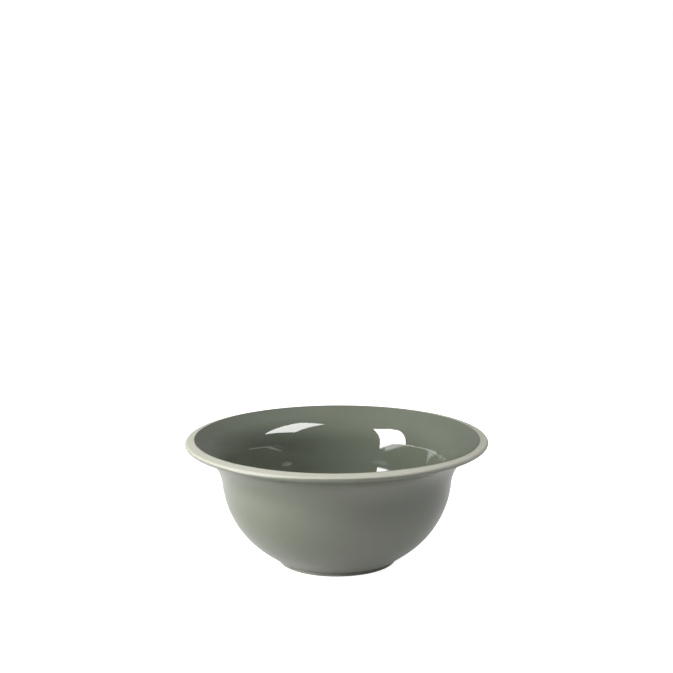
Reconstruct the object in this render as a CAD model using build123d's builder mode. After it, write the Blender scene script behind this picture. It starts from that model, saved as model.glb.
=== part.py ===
from build123d import *
import os
from math import cos, radians, sin, tan

# A stoneware mixing bowl: one thrown and fired clay body with three glaze coats on it.
# Millimetres, +Z up. The origin is the centre of the ring that the bowl stands on.
# Every piece is turned about +Z, so each one is a half section in the XZ plane, revolved.

# ---- Driving dimensions ----

rim_diameter = 190.0            # widest point, on the rounded edge of the rim
height = 79.9                   # from the foot's seat to the glaze line on top of the rim

# Rim: a bare clay band that slopes down outwards from the glaze line and rolls over
glaze_line_radius = 89.15       # where the inside glaze stops and the bare band begins
band_slope = 12.4               # degrees, falling outwards
upper_roll_radius = 1.6         # rounding from the band to the widest point
lower_roll_radius = 1.9         # rounding from the widest point to the underside

# Outside: flared rim, cove under it, nearly upright wall, round belly, straight base slope
flare_slope = 16.4              # degrees, the underside of the rim rises outwards
cove_radius = 26.5
wall_taper = 6.5                # degrees from upright, wider at the top
wall_radius = 73.3              # the wall line's radius at the height below
wall_reference_height = 60.0
belly_radius = 59.3
base_slope = 35.2               # degrees, from the foot up to the belly
base_slope_radius = 39.7        # where the base slope meets the top of the foot

# Foot: a low turned ring with a small step above it
foot_diameter = 74.5
foot_height = 3.4
foot_taper = 0.3                # the foot's side leans in by this much towards the seat
foot_step_drop = 0.3            # the step falls by this much towards the foot
step_edge_radius = 0.5
step_root_radius = 1.2
seat_edge_radius = 0.7
seat_width = 3.4                # width of the ring between its two rounded edges
recess_depth = 2.6              # height of the base's underside above the seat
recess_taper = 1.0              # the recess is narrower at its top by this much
recess_root_radius = 1.2

# Inside: the flare's upper face, its shoulder, the wall, the belly and a nearly flat floor.
# The wall thickens downwards, because its inner face leans in more than its outer face.
wall_thickness = 5.0            # level thickness at the wall's reference height
inner_wall_taper = 12.8         # degrees from upright
inner_flare_slope = 25.7        # degrees
shoulder_radius = 21.3
inner_belly_radius = 56.7
inner_base_slope = 32.3         # degrees
base_thickness = 6.5            # through the clay and glaze, square to the outside's base slope
floor_edge_radius = 25.4
floor_height = 6.7

# Glaze coats
inside_glaze_thickness = 0.5
outside_glaze_thickness = 0.4
base_glaze_thickness = 0.35
outside_glaze_lap = 20.0        # degrees that the outside glaze laps up the roll, above its widest
foot_bare_height = 0.5          # bare clay on the foot's side above the seat
recess_bare_height = 0.9        # bare clay on the recess's side above the seat

# ---- Outline points worked out from the driving dimensions ----

rim_radius = rim_diameter / 2
foot_radius = foot_diameter / 2


def crossing(point_a, slope_a, point_b, slope_b):
    """The point where two lines cross, each given by a point and its slope in degrees."""
    rise_a = tan(radians(slope_a))
    rise_b = tan(radians(slope_b))
    gap = point_b[1] - point_a[1] + rise_a * point_a[0] - rise_b * point_b[0]
    r = gap / (rise_a - rise_b)
    return (r, point_a[1] + rise_a * (r - point_a[0]))


# Rim: the two rolls share the height of the widest point
upper_roll_r = rim_radius - upper_roll_radius
lower_roll_r = rim_radius - lower_roll_radius
band_end_r = upper_roll_r + upper_roll_radius * sin(radians(band_slope))
band_drop = (band_end_r - glaze_line_radius) * tan(radians(band_slope))
widest_height = height - band_drop - upper_roll_radius * cos(radians(band_slope))
glaze_line = (glaze_line_radius, height)

# Outside
flare_edge = (
    lower_roll_r + lower_roll_radius * sin(radians(flare_slope)),
    widest_height - lower_roll_radius * cos(radians(flare_slope)),
)
wall_point = (wall_radius, wall_reference_height)
wall_slope = 90 - wall_taper
base_point = (base_slope_radius, foot_height)
cove_corner = crossing(flare_edge, flare_slope, wall_point, wall_slope)
belly_corner = crossing(wall_point, wall_slope, base_point, base_slope)

# Foot, and the points on its two sides where the coats stop short of the seat
step_root = (foot_radius, foot_height - foot_step_drop)
seat_outer = (foot_radius - foot_taper, 0)
seat_inner = (seat_outer[0] - seat_width - 2 * seat_edge_radius, 0)
recess_root = (seat_inner[0] - recess_taper, recess_depth)
recess_centre = (0, recess_depth)
outside_glaze_end = (
    seat_outer[0] + foot_taper * foot_bare_height / step_root[1],
    foot_bare_height,
)
base_glaze_end = (
    seat_inner[0] - recess_taper * recess_bare_height / recess_depth,
    recess_bare_height,
)

# Inside
inner_wall_point = (wall_radius - wall_thickness, wall_reference_height)
inner_wall_slope = 90 - inner_wall_taper
inner_base_point = (
    base_point[0] - base_thickness * sin(radians(base_slope)),
    base_point[1] + base_thickness * cos(radians(base_slope)),
)
floor_centre = (0, floor_height)
shoulder_corner = crossing(glaze_line, inner_flare_slope, inner_wall_point, inner_wall_slope)
inner_belly_corner = crossing(
    inner_wall_point, inner_wall_slope, inner_base_point, inner_base_slope
)
floor_corner = crossing(inner_base_point, inner_base_slope, floor_centre, 0)


# ---- Outlines, each drawn into the line that is being built ----


def draw_upper_roll(start_angle):
    """From an angle above the widest point down round the roll to it. Returns the arc."""
    return CenterArc((upper_roll_r, widest_height), upper_roll_radius, start_angle, -start_angle)


def draw_lower_roll():
    """From the widest point round to the underside of the flare."""
    CenterArc((lower_roll_r, widest_height), lower_roll_radius, 0, flare_slope - 90)


def draw_outside(end_point):
    """Underside of the flare, cove, wall, belly, base slope and step, then down the foot."""
    FilletPolyline(
        flare_edge,
        cove_corner,
        belly_corner,
        base_point,
        step_root,
        end_point,
        radius=(cove_radius, belly_radius, step_edge_radius, step_root_radius),
    )


def draw_inside():
    """From the glaze line over the shoulder, down the wall and belly to the floor's centre."""
    FilletPolyline(
        glaze_line,
        shoulder_corner,
        inner_belly_corner,
        floor_corner,
        floor_centre,
        radius=(shoulder_radius, inner_belly_radius, floor_edge_radius),
    )


def draw_recess(start_point):
    """Side and ceiling of the recess inside the foot ring, to the axis."""
    FilletPolyline(start_point, recess_root, recess_centre, radius=recess_root_radius)


# ---- Inside glaze: the whole inner surface, up to the glaze line ----

with BuildPart() as inside_glaze:
    with BuildSketch(Plane.XZ) as inside_coat:
        with BuildLine():
            draw_inside()
            offset(amount=inside_glaze_thickness, side=Side.LEFT)
        make_face()
    revolve(axis=Axis.Z)

inside_glaze.part.label = "inside_glaze"

# ---- Outside glaze: from just above the rim's widest point to just above the seat ----

with BuildPart() as outside_glaze:
    with BuildSketch(Plane.XZ) as outside_coat:
        with BuildLine():
            draw_upper_roll(outside_glaze_lap)
            draw_lower_roll()
            draw_outside(outside_glaze_end)
            offset(amount=outside_glaze_thickness, side=Side.RIGHT)
        make_face()
    revolve(axis=Axis.Z)

outside_glaze.part.label = "outside_glaze"

# ---- Base glaze: the recess inside the foot ring ----

with BuildPart() as base_glaze:
    with BuildSketch(Plane.XZ) as base_coat:
        with BuildLine():
            draw_recess(base_glaze_end)
            offset(amount=base_glaze_thickness, side=Side.RIGHT)
        make_face()
    revolve(axis=Axis.Z)

base_glaze.part.label = "base_glaze"

# ---- Stoneware body: the whole bowl less its three coats ----

with BuildPart() as stoneware_body:
    with BuildSketch(Plane.XZ) as clay_section:
        with BuildLine():
            upper_roll = draw_upper_roll(90 - band_slope)
            Line(glaze_line, upper_roll @ 0)
            draw_lower_roll()
            draw_outside(seat_outer)
            Line(seat_outer, seat_inner)
            draw_recess(seat_inner)
            Line(recess_centre, floor_centre)
            draw_inside()
        make_face()
        fillet(clay_section.vertices().group_by(Axis.Y)[0], seat_edge_radius)
        for coat in (inside_coat, outside_coat, base_coat):
            add(coat.sketch_local, mode=Mode.SUBTRACT)
    revolve(axis=Axis.Z)

stoneware_body.part.label = "stoneware_body"

# ---- One STEP file per piece ----

os.makedirs("parts", exist_ok=True)
export_step(stoneware_body.part, "parts/stoneware_body.step")
export_step(inside_glaze.part, "parts/inside_glaze.step")
export_step(outside_glaze.part, "parts/outside_glaze.step")
export_step(base_glaze.part, "parts/base_glaze.step")
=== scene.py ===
import math

import bpy
import numpy as np
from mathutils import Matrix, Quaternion, Vector


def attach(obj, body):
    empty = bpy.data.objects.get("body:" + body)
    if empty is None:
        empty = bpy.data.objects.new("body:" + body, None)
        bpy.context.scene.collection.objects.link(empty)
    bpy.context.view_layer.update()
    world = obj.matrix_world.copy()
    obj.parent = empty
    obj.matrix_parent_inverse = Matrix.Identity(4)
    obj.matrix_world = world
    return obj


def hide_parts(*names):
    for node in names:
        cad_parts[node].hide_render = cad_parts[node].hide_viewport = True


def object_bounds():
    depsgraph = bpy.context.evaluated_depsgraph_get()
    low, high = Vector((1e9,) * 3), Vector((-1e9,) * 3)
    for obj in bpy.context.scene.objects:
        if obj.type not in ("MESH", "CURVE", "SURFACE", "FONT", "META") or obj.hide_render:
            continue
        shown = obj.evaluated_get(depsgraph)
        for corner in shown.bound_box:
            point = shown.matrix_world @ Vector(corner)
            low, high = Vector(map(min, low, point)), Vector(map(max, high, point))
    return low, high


# A stoneware mixing bowl: a clay body with three glaze coats, each one a closed turned mesh.
# The outline is written in millimetres as (radius, height) and turned about +Z in metres.

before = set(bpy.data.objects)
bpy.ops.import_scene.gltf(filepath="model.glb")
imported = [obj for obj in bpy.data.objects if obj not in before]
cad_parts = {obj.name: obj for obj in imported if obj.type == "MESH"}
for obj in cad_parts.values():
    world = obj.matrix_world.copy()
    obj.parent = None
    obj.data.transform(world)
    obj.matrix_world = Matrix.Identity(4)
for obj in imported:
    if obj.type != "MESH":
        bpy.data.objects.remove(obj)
cad_low, cad_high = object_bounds()

MM = 0.001
TAU = 2 * math.pi

# ---- Sizes, in millimetres ----

RIM_RADIUS = cad_high.x / MM
HEIGHT = cad_high.z / MM
FOOT_RADIUS = 37.25

GLAZE_LINE_RADIUS = 89.15       # the ridge where the bare band begins
GLAZE_SETBACK = 0.1             # how far inside that ridge the inside glaze ends
BAND_SLOPE = 12.4               # degrees, falling outwards
UPPER_ROLL_RADIUS = 1.6
LOWER_ROLL_RADIUS = 1.9
CREST_RADIUS = 2.2              # softens the ridge between the band and the inside

FLARE_SLOPE = 16.4
COVE_RADIUS = 26.5
WALL_TAPER = 6.5
WALL_POINT = (73.3, 60.0)
BELLY_RADIUS = 59.3
BASE_SLOPE = 35.2
BASE_POINT = (39.7, 3.4)

FOOT_TAPER = 0.3
STEP_DROP = 0.3
STEP_EDGE_RADIUS = 0.6
STEP_ROOT_RADIUS = 1.3
SEAT_EDGE_RADIUS = 0.7
SEAT_WIDTH = 4.8
RECESS_DEPTH = 2.6
RECESS_TAPER = 1.0
RECESS_ROOT_RADIUS = 1.2
RECESS_LEAN = 0.3               # about how far in the recess's side is where its glaze ends

WALL_THICKNESS = 5.0
INNER_WALL_TAPER = 12.8
INNER_FLARE_SLOPE = 25.7
SHOULDER_RADIUS = 21.3
INNER_BELLY_RADIUS = 56.7
INNER_BASE_SLOPE = 32.3
BASE_THICKNESS = 6.5
FLOOR_EDGE_RADIUS = 25.4
FLOOR_HEIGHT = 6.7

COAT = 0.38                     # thickness of a glaze coat away from its edges
UNDER = 0.03                    # how far a coat's underside sinks into the clay
OUTSIDE_LAP = 20.0              # degrees that the outside coat laps up the roll
FOOT_BARE = 0.45                # bare clay above the seat, on both sides of the foot ring
NOSE = 0.16                     # how far the coat's edge stands over the finished surface
NOSE_WIDTH = 0.32               # width of the edge's rounded front
NOSE_TAIL = 1.3                 # width over which the raised edge dies away
CLAY_RAMP = 0.7                 # width over which the clay drops away under the coat
STEP_THIN_AND_HIGHLIGHT = 0.7                # glaze on the foot's step is as thin as this far from an edge; the paler line this makes is partly a painted highlight
FAR = 50.0                      # a distance that counts as away from every edge
INSIDE_REACH = 5.5              # how far the glaze line's wander carries the surface along with it
EDGE_REACH = 2.2                # the same for the other edges

# The turned surface's unevenness: long shallow waves, dying away near the axis
MARK_HEIGHT = 0.03
MARK_WAVES = 10
MARK_LENGTHS = (24, 60)
MARK_MOST_TURNS = 5             # a wave winds round the bowl fewer times than this
MARK_FADE = 12.0

# Turning ridges under the rim: height on the bowl, how far it stands out, and half width
RIDGES = ((68.7, 0.10, 0.9), (66.6, 0.08, 0.8))

COLUMNS = 256                   # mesh columns round the bowl
ROW_SPACING = 0.6               # between mesh rows on a coat's face, where the outline is gentle
UNDER_SPACING = 2.4             # the same on the clay and on a coat's underside
FINEST_ROWS = 0.07              # between mesh rows at an edge or a tight bend
ROW_GROWTH = 0.09               # added to that for each millimetre away from it
ARC_POINTS = 8                  # the fewest points on a rounded corner
ARC_SPACING = 0.6               # about the widest gap between them
ARC_TURN = 3                    # degrees, about the largest turn between them
MARK_SEED = 21                  # for the waves that make the hand marks
RUN_SAMPLES = 20001             # places tried when looking for a point on the outline

# ---- Finishes: colours are linear red, green and blue ----

SATIN_COLOUR = (0.093, 0.102, 0.072)
# paler colour where the satin glaze thins at its edges and on the foot's step: partly the glaze
# thinning, partly a painted highlight on the foot
SATIN_THIN_AND_HIGHLIGHT = (0.185, 0.194, 0.150)
SATIN_THIN_WIDTH = 2.2          # millimetres
SATIN_ROUGHNESS = 0.31
SATIN_IOR = 1.80
GLOSS_COLOUR = (0.096, 0.107, 0.082)
GLOSS_THIN = (0.135, 0.142, 0.112)
GLOSS_THIN_WIDTH = 1.2
GLOSS_ROUGHNESS = 0.04
GLOSS_IOR = 1.66
CLAY_COLOUR = (0.300, 0.300, 0.252)
CLAY_EDGE = (0.24, 0.235, 0.19)
CLAY_SPECK = (0.20, 0.18, 0.14)
CLAY_ROUGHNESS = (0.60, 0.75)
CLAY_IOR = 1.6

CLOUD_SHARE = 0.75              # how much of a glaze's mottling is broad, and the rest is fine
GLAZE_TONE = 0.10               # the mottling's strength either way
THIN_SHARE = 0.75               # how much of the thin colour shows at an edge
THIN_RAGGED = 0.4               # how uneven the thin part's border is, as a share of its width
FLECK_SHARE = 0.10              # how strongly the iron specks show
FLECK_TONE = 0.35               # their colour, as a share of the glaze's
ROUGHNESS_TONE = 0.06           # how far a glaze's roughness varies either way

# ---- Studio, in metres ----

SENSOR, LENS = 36.0, 90.49
CAMERA_PLACE = (0, -1.0357, 0.3344)
CAMERA_AIM = (0.00024, 0, 0.1439)
CAMERA_ROLL = -0.0052

# The floor: its half width, its grey and how bright the camera sees it at least. It glows
# faintly in front of the bowl and more behind it and to the left.
FLOOR_SIZE, FLOOR_SHADE, FLOOR_LIFT = 30.0, 0.50, 0.95
FLOOR_GAP = 0.06                # millimetres from the seat down to the floor
FLOOR_ROUGHNESS = 0.9
GLOW_FRONT, GLOW_BEHIND = 0.08, 0.56
GLOW_START, GLOW_END = -0.17, 0.12      # where it begins and stops rising, front to back
GLOW_LEAN = 0.3                 # how far that direction leans to the left

# A tall upright softbox to the front left: its face's four corners, across and up from the floor.
# The fourth, at the top right, is rounded.
KEY_AZIMUTH, KEY_AWAY, KEY_RADIANCE = 244.0, 1.2, 15.5
KEY_FACE = [(0.35, 0), (-0.32, 0), (-0.28, 1.62), (0.54, 1.62)]
KEY_ROUNDING = 0.25

# A softbox overhead, to the right: its face's four corners, across the room and away from the
# camera
TOP_HEIGHT, TOP_RADIANCE = 1.1, 10.2
TOP_FACE = [(1.24, 0.11), (0.89, -0.67), (0.14, -0.30), (0.33, 0.02)]

# The room's own light, by where it comes from: all round, more behind and more above
ROOM, ROOM_BEHIND, ROOM_ABOVE = 0.01, 0.15, 0.07
BEHIND_START, BEHIND_END = -0.2, 0.6    # where each rises, as a direction's share along its axis
ABOVE_START, ABOVE_END = 0.5, 0.85


# ---- Profile ----


def crossing(point_a, slope_a, point_b, slope_b):
    """Where two lines cross, each given by a point and its slope in degrees."""
    rise_a, rise_b = math.tan(math.radians(slope_a)), math.tan(math.radians(slope_b))
    gap = point_b[1] - point_a[1] + rise_a * point_a[0] - rise_b * point_b[0]
    r = gap / (rise_a - rise_b)
    return (r, point_a[1] + rise_a * (r - point_a[0]))


def rounded(points, radii):
    """A polyline with each inner corner rounded to its radius, as an array of points."""
    points = [np.array(p, float) for p in points]
    out = [points[0]]
    for before, corner, after, radius in zip(points, points[1:], points[2:], radii):
        d1 = (before - corner) / np.linalg.norm(before - corner)
        d2 = (after - corner) / np.linalg.norm(after - corner)
        half = math.acos(float(np.clip(d1 @ d2, -1, 1))) / 2
        start, end = corner + d1 * radius / math.tan(half), corner + d2 * radius / math.tan(half)
        centre = corner + (d1 + d2) / np.linalg.norm(d1 + d2) * radius / math.sin(half)
        a0 = math.atan2(*(start - centre)[::-1])
        turn = (math.atan2(*(end - centre)[::-1]) - a0 + math.pi) % TAU - math.pi
        by_gap = int(abs(turn) * radius / ARC_SPACING)
        by_turn = int(abs(math.degrees(turn)) / ARC_TURN)
        steps = max(ARC_POINTS, by_gap, by_turn)
        for a in a0 + turn * np.linspace(0, 1, steps + 1):
            out.append(centre + radius * np.array([math.cos(a), math.sin(a)]))
    out.append(points[-1])
    return np.array(out)


def finished_profile():
    """The bowl's outline as one line: from the floor's centre up the inside, over the rim, down
    the outside, round the foot and in to the middle of the base."""
    crest = (GLAZE_LINE_RADIUS, HEIGHT)
    lean, flare = math.radians(BAND_SLOPE), math.radians(FLARE_SLOPE)
    band_end = RIM_RADIUS - UPPER_ROLL_RADIUS * (1 - math.sin(lean))
    band_fall = (band_end - GLAZE_LINE_RADIUS) * math.tan(lean)
    widest = HEIGHT - band_fall - UPPER_ROLL_RADIUS * math.cos(lean)
    flare_edge = (
        RIM_RADIUS - LOWER_ROLL_RADIUS * (1 - math.sin(flare)),
        widest - LOWER_ROLL_RADIUS * math.cos(flare),
    )
    rim_top = (RIM_RADIUS, HEIGHT - (RIM_RADIUS - GLAZE_LINE_RADIUS) * math.tan(lean))
    rim_bottom = (RIM_RADIUS, flare_edge[1] + (RIM_RADIUS - flare_edge[0]) * math.tan(flare))
    wall_slope, inner_wall_slope = 90 - WALL_TAPER, 90 - INNER_WALL_TAPER
    inner_wall = (WALL_POINT[0] - WALL_THICKNESS, WALL_POINT[1])
    base = math.radians(BASE_SLOPE)
    inner_base = (
        BASE_POINT[0] - BASE_THICKNESS * math.sin(base),
        BASE_POINT[1] + BASE_THICKNESS * math.cos(base),
    )
    floor = (0, FLOOR_HEIGHT)
    seat_outer = (FOOT_RADIUS - FOOT_TAPER, 0)
    seat_inner = (seat_outer[0] - SEAT_WIDTH, 0)
    corners = [
        (crossing(inner_base, INNER_BASE_SLOPE, floor, 0), FLOOR_EDGE_RADIUS),
        (crossing(inner_wall, inner_wall_slope, inner_base, INNER_BASE_SLOPE), INNER_BELLY_RADIUS),
        (crossing(crest, INNER_FLARE_SLOPE, inner_wall, inner_wall_slope), SHOULDER_RADIUS),
        (crest, CREST_RADIUS),
        (rim_top, UPPER_ROLL_RADIUS),
        (rim_bottom, LOWER_ROLL_RADIUS),
        (crossing(flare_edge, FLARE_SLOPE, WALL_POINT, wall_slope), COVE_RADIUS),
        (crossing(WALL_POINT, wall_slope, BASE_POINT, BASE_SLOPE), BELLY_RADIUS),
        (BASE_POINT, STEP_EDGE_RADIUS),
        ((FOOT_RADIUS, BASE_POINT[1] - STEP_DROP), STEP_ROOT_RADIUS),
        (seat_outer, SEAT_EDGE_RADIUS),
        (seat_inner, SEAT_EDGE_RADIUS),
        ((seat_inner[0] - RECESS_TAPER, RECESS_DEPTH), RECESS_ROOT_RADIUS),
    ]
    points = [floor] + [point for point, _ in corners] + [(0, RECESS_DEPTH)]
    outline = rounded(points, [radius for _, radius in corners])
    apart = np.linalg.norm(np.diff(outline, axis=0), axis=1) > 1e-6
    return outline[np.concatenate([[True], apart])]


PROFILE = finished_profile()
RUN = np.concatenate([[0], np.cumsum(np.linalg.norm(np.diff(PROFILE, axis=0), axis=1))])
END = RUN[-1]


def profile_normals():
    """Unit normals at the outline's points, pointing out of the bowl."""
    tangent = np.gradient(PROFILE, RUN, axis=0)
    tangent /= np.linalg.norm(tangent, axis=1)[:, None]
    return np.stack([-tangent[:, 1], tangent[:, 0]], 1)


NORMALS = profile_normals()


def run_at(r, z):
    """Distance along the outline of its point nearest to (r, z)."""
    fine = np.linspace(0, END, RUN_SAMPLES)
    away_r = np.interp(fine, RUN, PROFILE[:, 0]) - r
    away_z = np.interp(fine, RUN, PROFILE[:, 1]) - z
    return float(fine[np.argmin(np.hypot(away_r, away_z))])


def smooth(t):
    """0 below 0, 1 above 1, and an easy curve between."""
    t = np.clip(t, 0, 1)
    return t * t * (3 - 2 * t)


def wall_radius_at(z):
    """The outside's radius at a height between the foot and the rim."""
    outside = PROFILE[np.argmax(PROFILE[:, 0]):][::-1]
    return float(np.interp(z, outside[:, 1], outside[:, 0]))


# Where the coats end, as distances along the outline
LAP = math.radians(OUTSIDE_LAP)
WIDEST = PROFILE[np.argmax(PROFILE[:, 0])][1]
INSIDE_EDGE = run_at(GLAZE_LINE_RADIUS - GLAZE_SETBACK, HEIGHT)
LAP_EDGE = run_at(
    RIM_RADIUS - UPPER_ROLL_RADIUS * (1 - math.cos(LAP)),
    WIDEST + UPPER_ROLL_RADIUS * math.sin(LAP),
)
FOOT_EDGE = run_at(FOOT_RADIUS - FOOT_TAPER, FOOT_BARE)
BASE_EDGE = run_at(FOOT_RADIUS - FOOT_TAPER - SEAT_WIDTH - RECESS_LEAN, FOOT_BARE)
EDGES = (INSIDE_EDGE, LAP_EDGE, FOOT_EDGE, BASE_EDGE)
STEP_EDGE = run_at(*BASE_POINT)


# ---- How the bowl differs from a perfect turned form ----

AZIMUTHS = np.arange(COLUMNS) / COLUMNS * TAU


def waves(seed, size, lowest, highest):
    """A smooth closed wander round the bowl, made of a few waves, with about that size."""
    rng = np.random.default_rng(seed)
    total = np.zeros(COLUMNS)
    for count in range(lowest, highest + 1):
        total += rng.normal() / count ** 0.5 * np.cos(count * AZIMUTHS + rng.uniform(0, TAU))
    return size * total / np.abs(total).max()


def swell(azimuth, width):
    """1 at an azimuth, in degrees from the front towards the right, fading out round it."""
    away = (np.degrees(AZIMUTHS) + 90 - azimuth + 180) % 360 - 180
    return np.exp(-0.5 * (away / width) ** 2)


# How far each edge wanders along the outline, in millimetres, at each column: random waves, and
# the broad swells that this bowl's glaze line and lap have
GLAZE_LINE_SWELL = 1.7 * swell(62, 20) + 0.3 * swell(20, 14) + 0.8 * swell(-120, 30)
LAP_SWELL = -0.35 * swell(12, 18) + 0.30 * swell(-42, 30) + 0.40 * swell(60, 20)
WANDER = (
    waves(3, 0.12, 2, 9) + GLAZE_LINE_SWELL,
    waves(5, 0.10, 2, 12) + LAP_SWELL,
    waves(7, 0.08, 2, 12),
    waves(9, 0.15, 2, 7),
)


def warp(run):
    """Distances along the outline moved with the edges, as an array of rows by columns."""
    run = np.asarray(run, float)[:, None]
    moved = np.repeat(run, COLUMNS, 1)
    for edge, wander in zip(EDGES, WANDER):
        reach = INSIDE_REACH if edge == INSIDE_EDGE else EDGE_REACH
        moved += (1 - smooth(np.abs(run - edge) / reach)) * wander[None, :]
    return moved


def stations(start, end, spacing):
    """Rows along the outline: close together at edges and tight bends, and elsewhere that far
    apart."""
    seat_edges = [run_at(FOOT_RADIUS - 1, 0), run_at(FOOT_RADIUS - SEAT_WIDTH, 0)]
    fine = np.array([*EDGES, run_at(RIM_RADIUS, WIDEST), STEP_EDGE, *seat_edges])
    rows = [start]
    while rows[-1] < end:
        away = np.abs(fine - rows[-1]).min()
        gap = np.clip(FINEST_ROWS + ROW_GROWTH * away, FINEST_ROWS, spacing)
        rows.append(rows[-1] + float(gap))
    rows = np.array(rows)
    return start + (rows - start) * (end - start) / (rows[-1] - start)


# ---- Meshes ----


def turned(name, radius, height, closed, values):
    """A mesh from rows of points round +Z, in millimetres. An open outline starts and ends on
    the axis, and a closed one is a ring. values are numbers kept at each point, by name."""
    rows, columns = radius.shape
    angle = AZIMUTHS[None, :]
    points = np.stack([radius * np.cos(angle), radius * np.sin(angle), height], 2) * MM
    ring = np.arange(rows * columns).reshape(rows, columns)
    ahead = np.roll(ring, -1, axis=1)
    if closed:
        nxt = np.roll(ring, -1, axis=0)
        nxt_ahead = np.roll(ahead, -1, axis=0)
        faces = np.stack([ring, nxt, nxt_ahead, ahead], 2).reshape(-1, 4).tolist()
    else:
        inner = np.stack([ring[1:-2], ring[2:-1], ahead[2:-1], ahead[1:-2]], 2)
        faces = inner.reshape(-1, 4).tolist()
        first, last = int(ring[0, 0]), int(ring[-1, 0])
        faces += [[first, a, b] for a, b in zip(ring[1].tolist(), ahead[1].tolist())]
        faces += [[b, a, last] for a, b in zip(ring[-2].tolist(), ahead[-2].tolist())]
    used = np.unique(np.concatenate([np.array(face) for face in faces]))
    order = np.full(rows * columns, -1)
    order[used] = np.arange(len(used))
    mesh = bpy.data.meshes.new(name)
    kept_faces = [[int(order[i]) for i in face] for face in faces]
    mesh.from_pydata(points.reshape(-1, 3)[used], [], kept_faces)
    for key, grid in values.items():
        attribute = mesh.attributes.new(key, "FLOAT", "POINT")
        attribute.data.foreach_set("value", grid.ravel()[used].astype(np.float32))
    mesh.polygons.foreach_set("use_smooth", [True] * len(mesh.polygons))
    mesh.validate()
    mesh.update()
    piece = bpy.data.objects.new(name, mesh)
    bpy.context.scene.collection.objects.link(piece)
    return piece


def off_outline(run, rise):
    """Radius and height of points at distances along the outline, raised off it by rise."""
    r = np.interp(run, RUN, PROFILE[:, 0]) + rise * np.interp(run, RUN, NORMALS[:, 0])
    z = np.interp(run, RUN, PROFILE[:, 1]) + rise * np.interp(run, RUN, NORMALS[:, 1])
    return r, z


def depth_in_coats(run):
    """How far each distance along the outline lies inside a coat, in millimetres: below 0 on
    bare clay."""
    inside = INSIDE_EDGE - run
    outside = np.minimum(run - LAP_EDGE, FOOT_EDGE - run)
    return np.maximum(np.maximum(inside, outside), run - BASE_EDGE)


def hand_marks(run):
    """The small unevenness of a turned and glazed surface, in millimetres, rows by columns."""
    marks = np.zeros((len(run), COLUMNS))
    rng = np.random.default_rng(MARK_SEED)
    for _ in range(MARK_WAVES):
        length = rng.uniform(*MARK_LENGTHS)
        turns = rng.integers(0, MARK_MOST_TURNS)
        phase = rng.uniform(0, TAU)
        marks += np.cos(TAU * run[:, None] / length + turns * AZIMUTHS[None, :] + phase)
    off_axis = smooth(run / MARK_FADE) * smooth((END - run) / MARK_FADE)
    marks *= MARK_HEIGHT / MARK_WAVES * off_axis[:, None]
    for z, size, width in RIDGES:
        middle = run_at(wall_radius_at(z), z)
        marks += size * np.exp(-(((run - middle) / width) ** 2))[:, None]
    return marks


def coat(name, start, end, round_start, round_end):
    """A closed shell of glaze between two distances along the outline, with a rounded, slightly
    raised edge wherever it stops on the clay."""

    def face(spacing, height_at):
        """Radius and height of one face's points, rows by columns, and how fully each row is
        covered: less near the coat's edges, where glaze draws thin, and on the foot's step, where
        glaze draws thin and the paler line is partly a painted highlight."""
        rows = stations(start, end, spacing)
        depth = np.full(len(rows), FAR)
        if round_start:
            depth = np.minimum(depth, rows - start)
        if round_end:
            depth = np.minimum(depth, end - rows)
        r, z = off_outline(warp(rows), height_at(depth)[:, None] + hand_marks(rows))
        cover_and_highlight = np.minimum(depth, STEP_THIN_AND_HIGHLIGHT + np.abs(rows - STEP_EDGE))
        return r, z, cover_and_highlight

    def top(depth):
        front = np.sqrt(1 - (1 - np.clip(depth / NOSE_WIDTH, 0, 1)) ** 2)
        raised = NOSE * (1 - smooth((depth - NOSE_WIDTH) / NOSE_TAIL))
        return front * raised - (1 - front) * UNDER

    def under(depth):
        return -(COAT + UNDER) * smooth(depth / CLAY_RAMP) - UNDER

    top_r, top_z, top_cover_and_highlight = face(ROW_SPACING, top)
    low_r, low_z, low_cover_and_highlight = face(UNDER_SPACING, under)
    low = slice(1 if round_start else 0, -1 if round_end else None)
    radius = np.concatenate([top_r, low_r[low][::-1]])
    height = np.concatenate([top_z, low_z[low][::-1]])
    cover_and_highlight = np.concatenate([top_cover_and_highlight, low_cover_and_highlight[low][::-1]])
    if not round_end:
        half = len(top_r)
        radius, height, cover_and_highlight = (np.roll(a, -half, axis=0) for a in (radius, height, cover_and_highlight))
    if not (round_start and round_end):
        radius[0], radius[-1] = 0, 0
    # on the outside coat this also carries the foot step's paler line, partly a painted highlight
    values = {"edge_distance": np.repeat(cover_and_highlight[:, None], COLUMNS, 1)}
    return turned(name, radius, height, round_start and round_end, values)


def clay_body():
    """The bare clay, which drops away under each coat by the coat's thickness."""
    rows = stations(0, END, UNDER_SPACING)
    depth = depth_in_coats(rows)
    rise = -COAT * smooth(depth / CLAY_RAMP)
    radius, height = off_outline(warp(rows), rise[:, None] + hand_marks(rows))
    radius[0], radius[-1] = 0, 0
    bare = np.clip(-depth, -FAR, FAR)
    values = {"edge_distance": np.repeat(bare[:, None], COLUMNS, 1)}
    return turned("clay_shell", radius, height, False, values)


# ---- Materials ----


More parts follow.
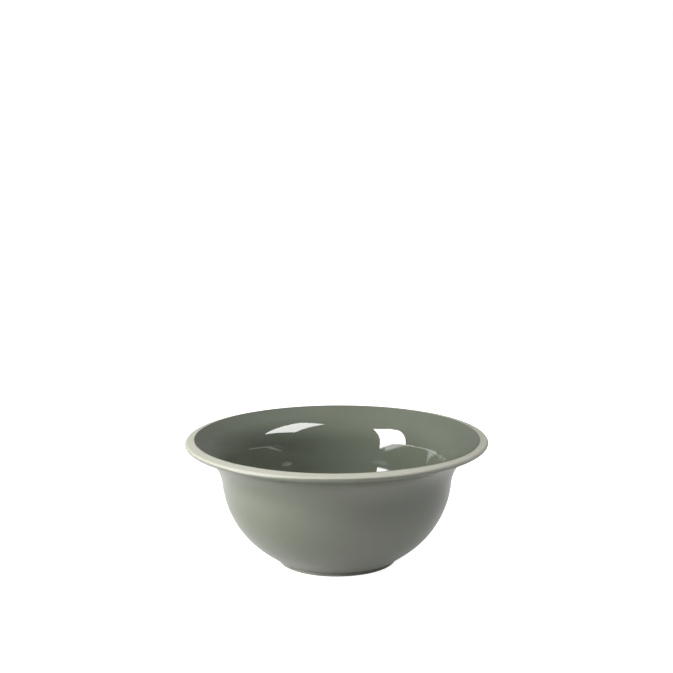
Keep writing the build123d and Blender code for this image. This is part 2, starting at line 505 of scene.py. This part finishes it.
class Nodes:
    """A new material's node tree, with short calls for the few kinds of node used here."""

    def __init__(self, name):
        self.material = bpy.data.materials.new(name)
        self.material.use_nodes = True
        self.tree = self.material.node_tree
        self.shader = self.tree.nodes["Principled BSDF"]
        self.place = self.add("ShaderNodeTexCoord").outputs["Object"]

    def add(self, kind, **settings):
        node = self.tree.nodes.new(kind)
        for key, value in settings.items():
            setattr(node, key, value)
        return node

    def link(self, source, target):
        self.tree.links.new(source, target)

    def noise(self, size_mm, detail, rough=0.5):
        """Noise from 0 to 1, with features about that size."""
        node = self.add("ShaderNodeTexNoise")
        self.link(self.place, node.inputs["Vector"])
        node.inputs["Scale"].default_value = 1 / (size_mm * MM)
        node.inputs["Detail"].default_value = detail
        node.inputs["Roughness"].default_value = rough
        return node.outputs["Fac"]

    def specks(self, spacing_mm, size, soft):
        """1 in small round specks scattered at about that spacing, 0 between them. size is a
        speck's radius and soft its blurred border, as shares of the spacing."""
        node = self.add("ShaderNodeTexVoronoi")
        self.link(self.place, node.inputs["Vector"])
        node.inputs["Scale"].default_value = 1 / (spacing_mm * MM)
        return self.ramp(node.outputs["Distance"], size, size - soft)

    def ramp(self, value, start, end, low=0.0, high=1.0):
        """value mapped from start..end to low..high, with smooth ends."""
        node = self.add("ShaderNodeMapRange", interpolation_type="SMOOTHSTEP")
        self.link(value, node.inputs["Value"])
        node.inputs["From Min"].default_value = start
        node.inputs["From Max"].default_value = end
        node.inputs["To Min"].default_value = low
        node.inputs["To Max"].default_value = high
        return node.outputs["Result"]

    def math(self, operation, a, b):
        node = self.add("ShaderNodeMath", operation=operation)
        for socket, value in zip(node.inputs, (a, b)):
            if isinstance(value, (int, float)):
                socket.default_value = value
            else:
                self.link(value, socket)
        return node.outputs["Value"]

    def mix(self, share, a, b):
        """Colour a, turning to colour b by share. Each is a node's colour or three numbers."""
        node = self.add("ShaderNodeMix", data_type="RGBA")
        self.link(share, node.inputs["Factor"])
        first_colour, second_colour = node.inputs[6], node.inputs[7]
        for socket, value in ((first_colour, a), (second_colour, b)):
            if isinstance(value, tuple):
                socket.default_value = (*value, 1)
            else:
                self.link(value, socket)
        return node.outputs[2]

    def attribute(self, name):
        return self.add("ShaderNodeAttribute", attribute_name=name).outputs["Fac"]

    def bump(self, height, depth_mm):
        """A bump of that depth from a 0 to 1 height."""
        node = self.add("ShaderNodeBump")
        node.inputs["Strength"].default_value = 1.0
        node.inputs["Distance"].default_value = depth_mm * MM
        self.link(height, node.inputs["Height"])
        self.link(node.outputs["Normal"], self.shader.inputs["Normal"])

    def set(self, **values):
        """Sets the shader's own sockets. Names use _ for a space."""
        for key, value in values.items():
            socket = self.shader.inputs[key.replace("_", " ")]
            if isinstance(value, (int, float)):
                socket.default_value = value
            elif isinstance(value, tuple):
                socket.default_value = (*value, 1)
            else:
                self.link(value, socket)


def shaded(colour, tone):
    return tuple(channel * tone for channel in colour)


def glaze(name, colour, thin_and_highlight_colour, thin_width_mm, roughness, ior):
    """A sage-green glaze that mottles softly, carries fine iron specks and pales where it thins
    towards its edges and on the foot's step, where the paler line is partly a painted highlight.
    Returns its nodes."""
    n = Nodes(name)
    cloud = n.noise(size_mm=30, detail=1)
    mottle = n.noise(size_mm=5, detail=0)
    broad = n.math("MULTIPLY", cloud, CLOUD_SHARE)
    fine = n.math("MULTIPLY", mottle, 1 - CLOUD_SHARE)
    tone = n.math("ADD", broad, fine)
    base = n.mix(tone, shaded(colour, 1 - GLAZE_TONE), shaded(colour, 1 + GLAZE_TONE))

    raggedness = n.math("MULTIPLY", mottle, THIN_RAGGED * thin_width_mm)
    from_edge = n.math("ADD", n.attribute("edge_distance"), raggedness)
    # paler towards the coat's edges, where the glaze thins, and on the foot's step, where it is
    # partly a painted highlight
    thin_and_step_highlight = n.ramp(from_edge, 0.1, thin_width_mm, THIN_SHARE, 0.0)
    base = n.mix(thin_and_step_highlight, base, thin_and_highlight_colour)

    flecks = n.math("MULTIPLY", n.specks(spacing_mm=5.0, size=0.055, soft=0.03), FLECK_SHARE)
    base = n.mix(flecks, base, shaded(colour, FLECK_TONE))

    smoothest, roughest = roughness * (1 - ROUGHNESS_TONE), roughness * (1 + ROUGHNESS_TONE)
    patches = n.noise(size_mm=20, detail=1)
    n.set(Base_Color=base, Roughness=n.ramp(patches, 0.2, 0.8, smoothest, roughest), IOR=ior)
    return n


def satin_glaze():
    """The outside's glaze, with a fine eggshell texture."""
    n = glaze(
        "satin_sage_glaze", SATIN_COLOUR, SATIN_THIN_AND_HIGHLIGHT, SATIN_THIN_WIDTH, SATIN_ROUGHNESS, SATIN_IOR
    )
    n.bump(n.noise(size_mm=1.1, detail=2), depth_mm=0.006)
    return n.material


def gloss_glaze():
    """The inside's glaze, with the faint ripple of a surface that flowed."""
    n = glaze(
        "gloss_sage_glaze", GLOSS_COLOUR, GLOSS_THIN, GLOSS_THIN_WIDTH, GLOSS_ROUGHNESS, GLOSS_IOR
    )
    n.bump(n.noise(size_mm=9, detail=1), depth_mm=0.002)
    return n.material


def bare_stoneware():
    """Smooth pale clay, fired without glaze: a fine grain with a few darker specks, and a little
    darker along the glaze."""
    n = Nodes("pale_bare_clay")
    grain = n.ramp(n.noise(size_mm=0.5, detail=4, rough=0.7), 0.3, 0.7)
    base = n.mix(grain, shaded(CLAY_COLOUR, 0.93), shaded(CLAY_COLOUR, 1.05))
    cloud = n.ramp(n.noise(size_mm=14, detail=3), 0.3, 0.7)
    base = n.mix(n.math("MULTIPLY", cloud, 0.25), base, shaded(CLAY_COLOUR, 0.88))
    # darker within about a millimetre of the glaze edges
    darker_along_glaze = n.ramp(n.attribute("edge_distance"), 0.0, 0.9, 0.45, 0.0)
    base = n.mix(darker_along_glaze, base, CLAY_EDGE)
    specks = n.specks(spacing_mm=2.2, size=0.10, soft=0.05)
    base = n.mix(n.math("MULTIPLY", specks, 0.5), base, CLAY_SPECK)
    n.set(Base_Color=base, Roughness=n.ramp(grain, 0, 1, *CLAY_ROUGHNESS), IOR=CLAY_IOR)
    n.bump(grain, depth_mm=0.02)
    return n.material


# ---- Camera, light and floor ----


def add_camera():
    """The photograph's view: a long lens a metre away, looking down a little."""
    data = bpy.data.cameras.new("camera")
    data.sensor_width, data.lens = SENSOR, LENS
    camera = bpy.data.objects.new("camera", data)
    look = (Vector(CAMERA_AIM) - Vector(CAMERA_PLACE)).to_track_quat("-Z", "Y")
    camera.rotation_mode = "QUATERNION"
    camera.rotation_quaternion = look @ Quaternion((0, 0, 1), CAMERA_ROLL)
    camera.location = CAMERA_PLACE
    bpy.context.scene.collection.objects.link(camera)
    bpy.context.scene.camera = camera


def add_softbox(name, corners, radiance):
    """A flat glowing face that lights the bowl and shows in its glaze, but not in the picture.
    radiance is in units of the picture's white."""
    mesh = bpy.data.meshes.new(name)
    mesh.from_pydata(corners, [], [range(len(corners))])
    material = bpy.data.materials.new(name)
    material.use_nodes = True
    nodes, links = material.node_tree.nodes, material.node_tree.links
    nodes.clear()
    glow, out = nodes.new("ShaderNodeEmission"), nodes.new("ShaderNodeOutputMaterial")
    glow.inputs["Strength"].default_value = radiance
    links.new(glow.outputs["Emission"], out.inputs["Surface"])
    mesh.materials.append(material)
    face = bpy.data.objects.new(name, mesh)
    face.visible_camera = False
    bpy.context.scene.collection.objects.link(face)


def key_corners():
    """The upright face's corners, square to the line from the bowl. Azimuths go from the back
    towards the right."""
    a = math.radians(KEY_AZIMUTH)
    out, across = Vector((math.sin(a), math.cos(a), 0)), Vector((math.cos(a), -math.sin(a), 0))
    low_right, low_left, *upper = KEY_FACE
    outline = [low_left, *rounded([*upper, low_right], [KEY_ROUNDING])]
    return [out * KEY_AWAY + across * s + Vector((0, 0, z)) for s, z in outline]


def add_world():
    """White behind the object for the camera, and the room's soft light on the object."""
    world = bpy.data.worlds.new("studio")
    world.use_nodes = True
    nodes, links = world.node_tree.nodes, world.node_tree.links
    place, split = nodes.new("ShaderNodeTexCoord"), nodes.new("ShaderNodeSeparateXYZ")
    links.new(place.outputs["Generated"], split.inputs["Vector"])
    total = None
    for axis, start, end, amount in (
        ("Y", BEHIND_START, BEHIND_END, ROOM_BEHIND),
        ("Z", ABOVE_START, ABOVE_END, ROOM_ABOVE),
    ):
        ramp = nodes.new("ShaderNodeMapRange")
        ramp.interpolation_type = "SMOOTHSTEP"
        links.new(split.outputs[axis], ramp.inputs["Value"])
        ramp.inputs["From Min"].default_value = start
        ramp.inputs["From Max"].default_value = end
        ramp.inputs["To Max"].default_value = amount
        add = nodes.new("ShaderNodeMath")
        links.new(ramp.outputs["Result"], add.inputs[0])
        add.inputs[1].default_value = ROOM
        if total:
            links.new(total, add.inputs[1])
        total = add.outputs["Value"]
    room, backdrop = nodes["Background"], nodes.new("ShaderNodeBackground")
    room.inputs["Color"].default_value = (1, 1, 1, 1)
    links.new(total, room.inputs["Strength"])
    backdrop.inputs["Color"].default_value = (1, 1, 1, 1)
    mix, path = nodes.new("ShaderNodeMixShader"), nodes.new("ShaderNodeLightPath")
    links.new(path.outputs["Is Camera Ray"], mix.inputs["Fac"])
    links.new(room.outputs["Background"], mix.inputs[1])
    links.new(backdrop.outputs["Background"], mix.inputs[2])
    links.new(mix.outputs["Shader"], nodes["World Output"].inputs["Surface"])
    bpy.context.scene.world = world


def add_floor():
    """A plain pale floor, just clear of the seat and open from below, so that the foot shows."""
    mesh = bpy.data.meshes.new("floor")
    corners = [(x * FLOOR_SIZE, y * FLOOR_SIZE, 0) for x, y in ((-1, -1), (1, -1), (1, 1), (-1, 1))]
    mesh.from_pydata(corners, [], [(0, 1, 2, 3)])
    floor = bpy.data.objects.new("floor", mesh)
    floor.location.z = -FLOOR_GAP * MM
    bpy.context.scene.collection.objects.link(floor)
    n = Nodes("pale_floor")
    grey = (FLOOR_SHADE, FLOOR_SHADE, FLOOR_SHADE)
    n.set(Base_Color=grey, Roughness=FLOOR_ROUGHNESS, Specular_IOR_Level=0.0)
    split = n.add("ShaderNodeSeparateXYZ")
    n.link(n.place, split.inputs["Vector"])
    leaning = n.math("MULTIPLY", split.outputs["X"], GLOW_LEAN)
    back_left = n.math("SUBTRACT", split.outputs["Y"], leaning)
    glow = n.ramp(back_left, GLOW_START, GLOW_END, GLOW_FRONT, GLOW_BEHIND)
    seen = n.add("ShaderNodeLightPath").outputs["Is Camera Ray"]
    lifted = n.math("MAXIMUM", glow, n.math("MULTIPLY", seen, FLOOR_LIFT))
    n.set(Emission_Color=(1, 1, 1), Emission_Strength=lifted)
    from_below = n.add("ShaderNodeNewGeometry").outputs["Backfacing"]
    open_side = n.add("ShaderNodeBsdfTransparent").outputs["BSDF"]
    both = n.add("ShaderNodeMixShader")
    n.link(from_below, both.inputs["Fac"])
    n.link(n.shader.outputs["BSDF"], both.inputs[1])
    n.link(open_side, both.inputs[2])
    n.link(both.outputs["Shader"], n.tree.nodes["Material Output"].inputs["Surface"])
    mesh.materials.append(n.material)


# ---- Put together ----


def dress(piece, node, material):
    """Makes a piece stand for a CAD node, with that node's material slot."""
    piece.data.materials.append(material)
    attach(piece, "root")
    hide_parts(node)


satin = satin_glaze()
clay = clay_body()
dress(clay, "stoneware_body", bare_stoneware())
inside = coat("gloss_inside_coat", 0, INSIDE_EDGE, False, True)
dress(inside, "inside_glaze", gloss_glaze())
outside = coat("satin_outside_coat", LAP_EDGE, FOOT_EDGE, True, True)
dress(outside, "outside_glaze", satin)
base = coat("satin_base_coat", BASE_EDGE, END, True, False)
dress(base, "base_glaze", satin)

add_camera()
add_world()
add_floor()
add_softbox("key_softbox", key_corners(), KEY_RADIANCE)
add_softbox("top_softbox", [(x, y, TOP_HEIGHT) for x, y in TOP_FACE], TOP_RADIANCE)
bpy.context.scene.view_settings.view_transform = "Standard"
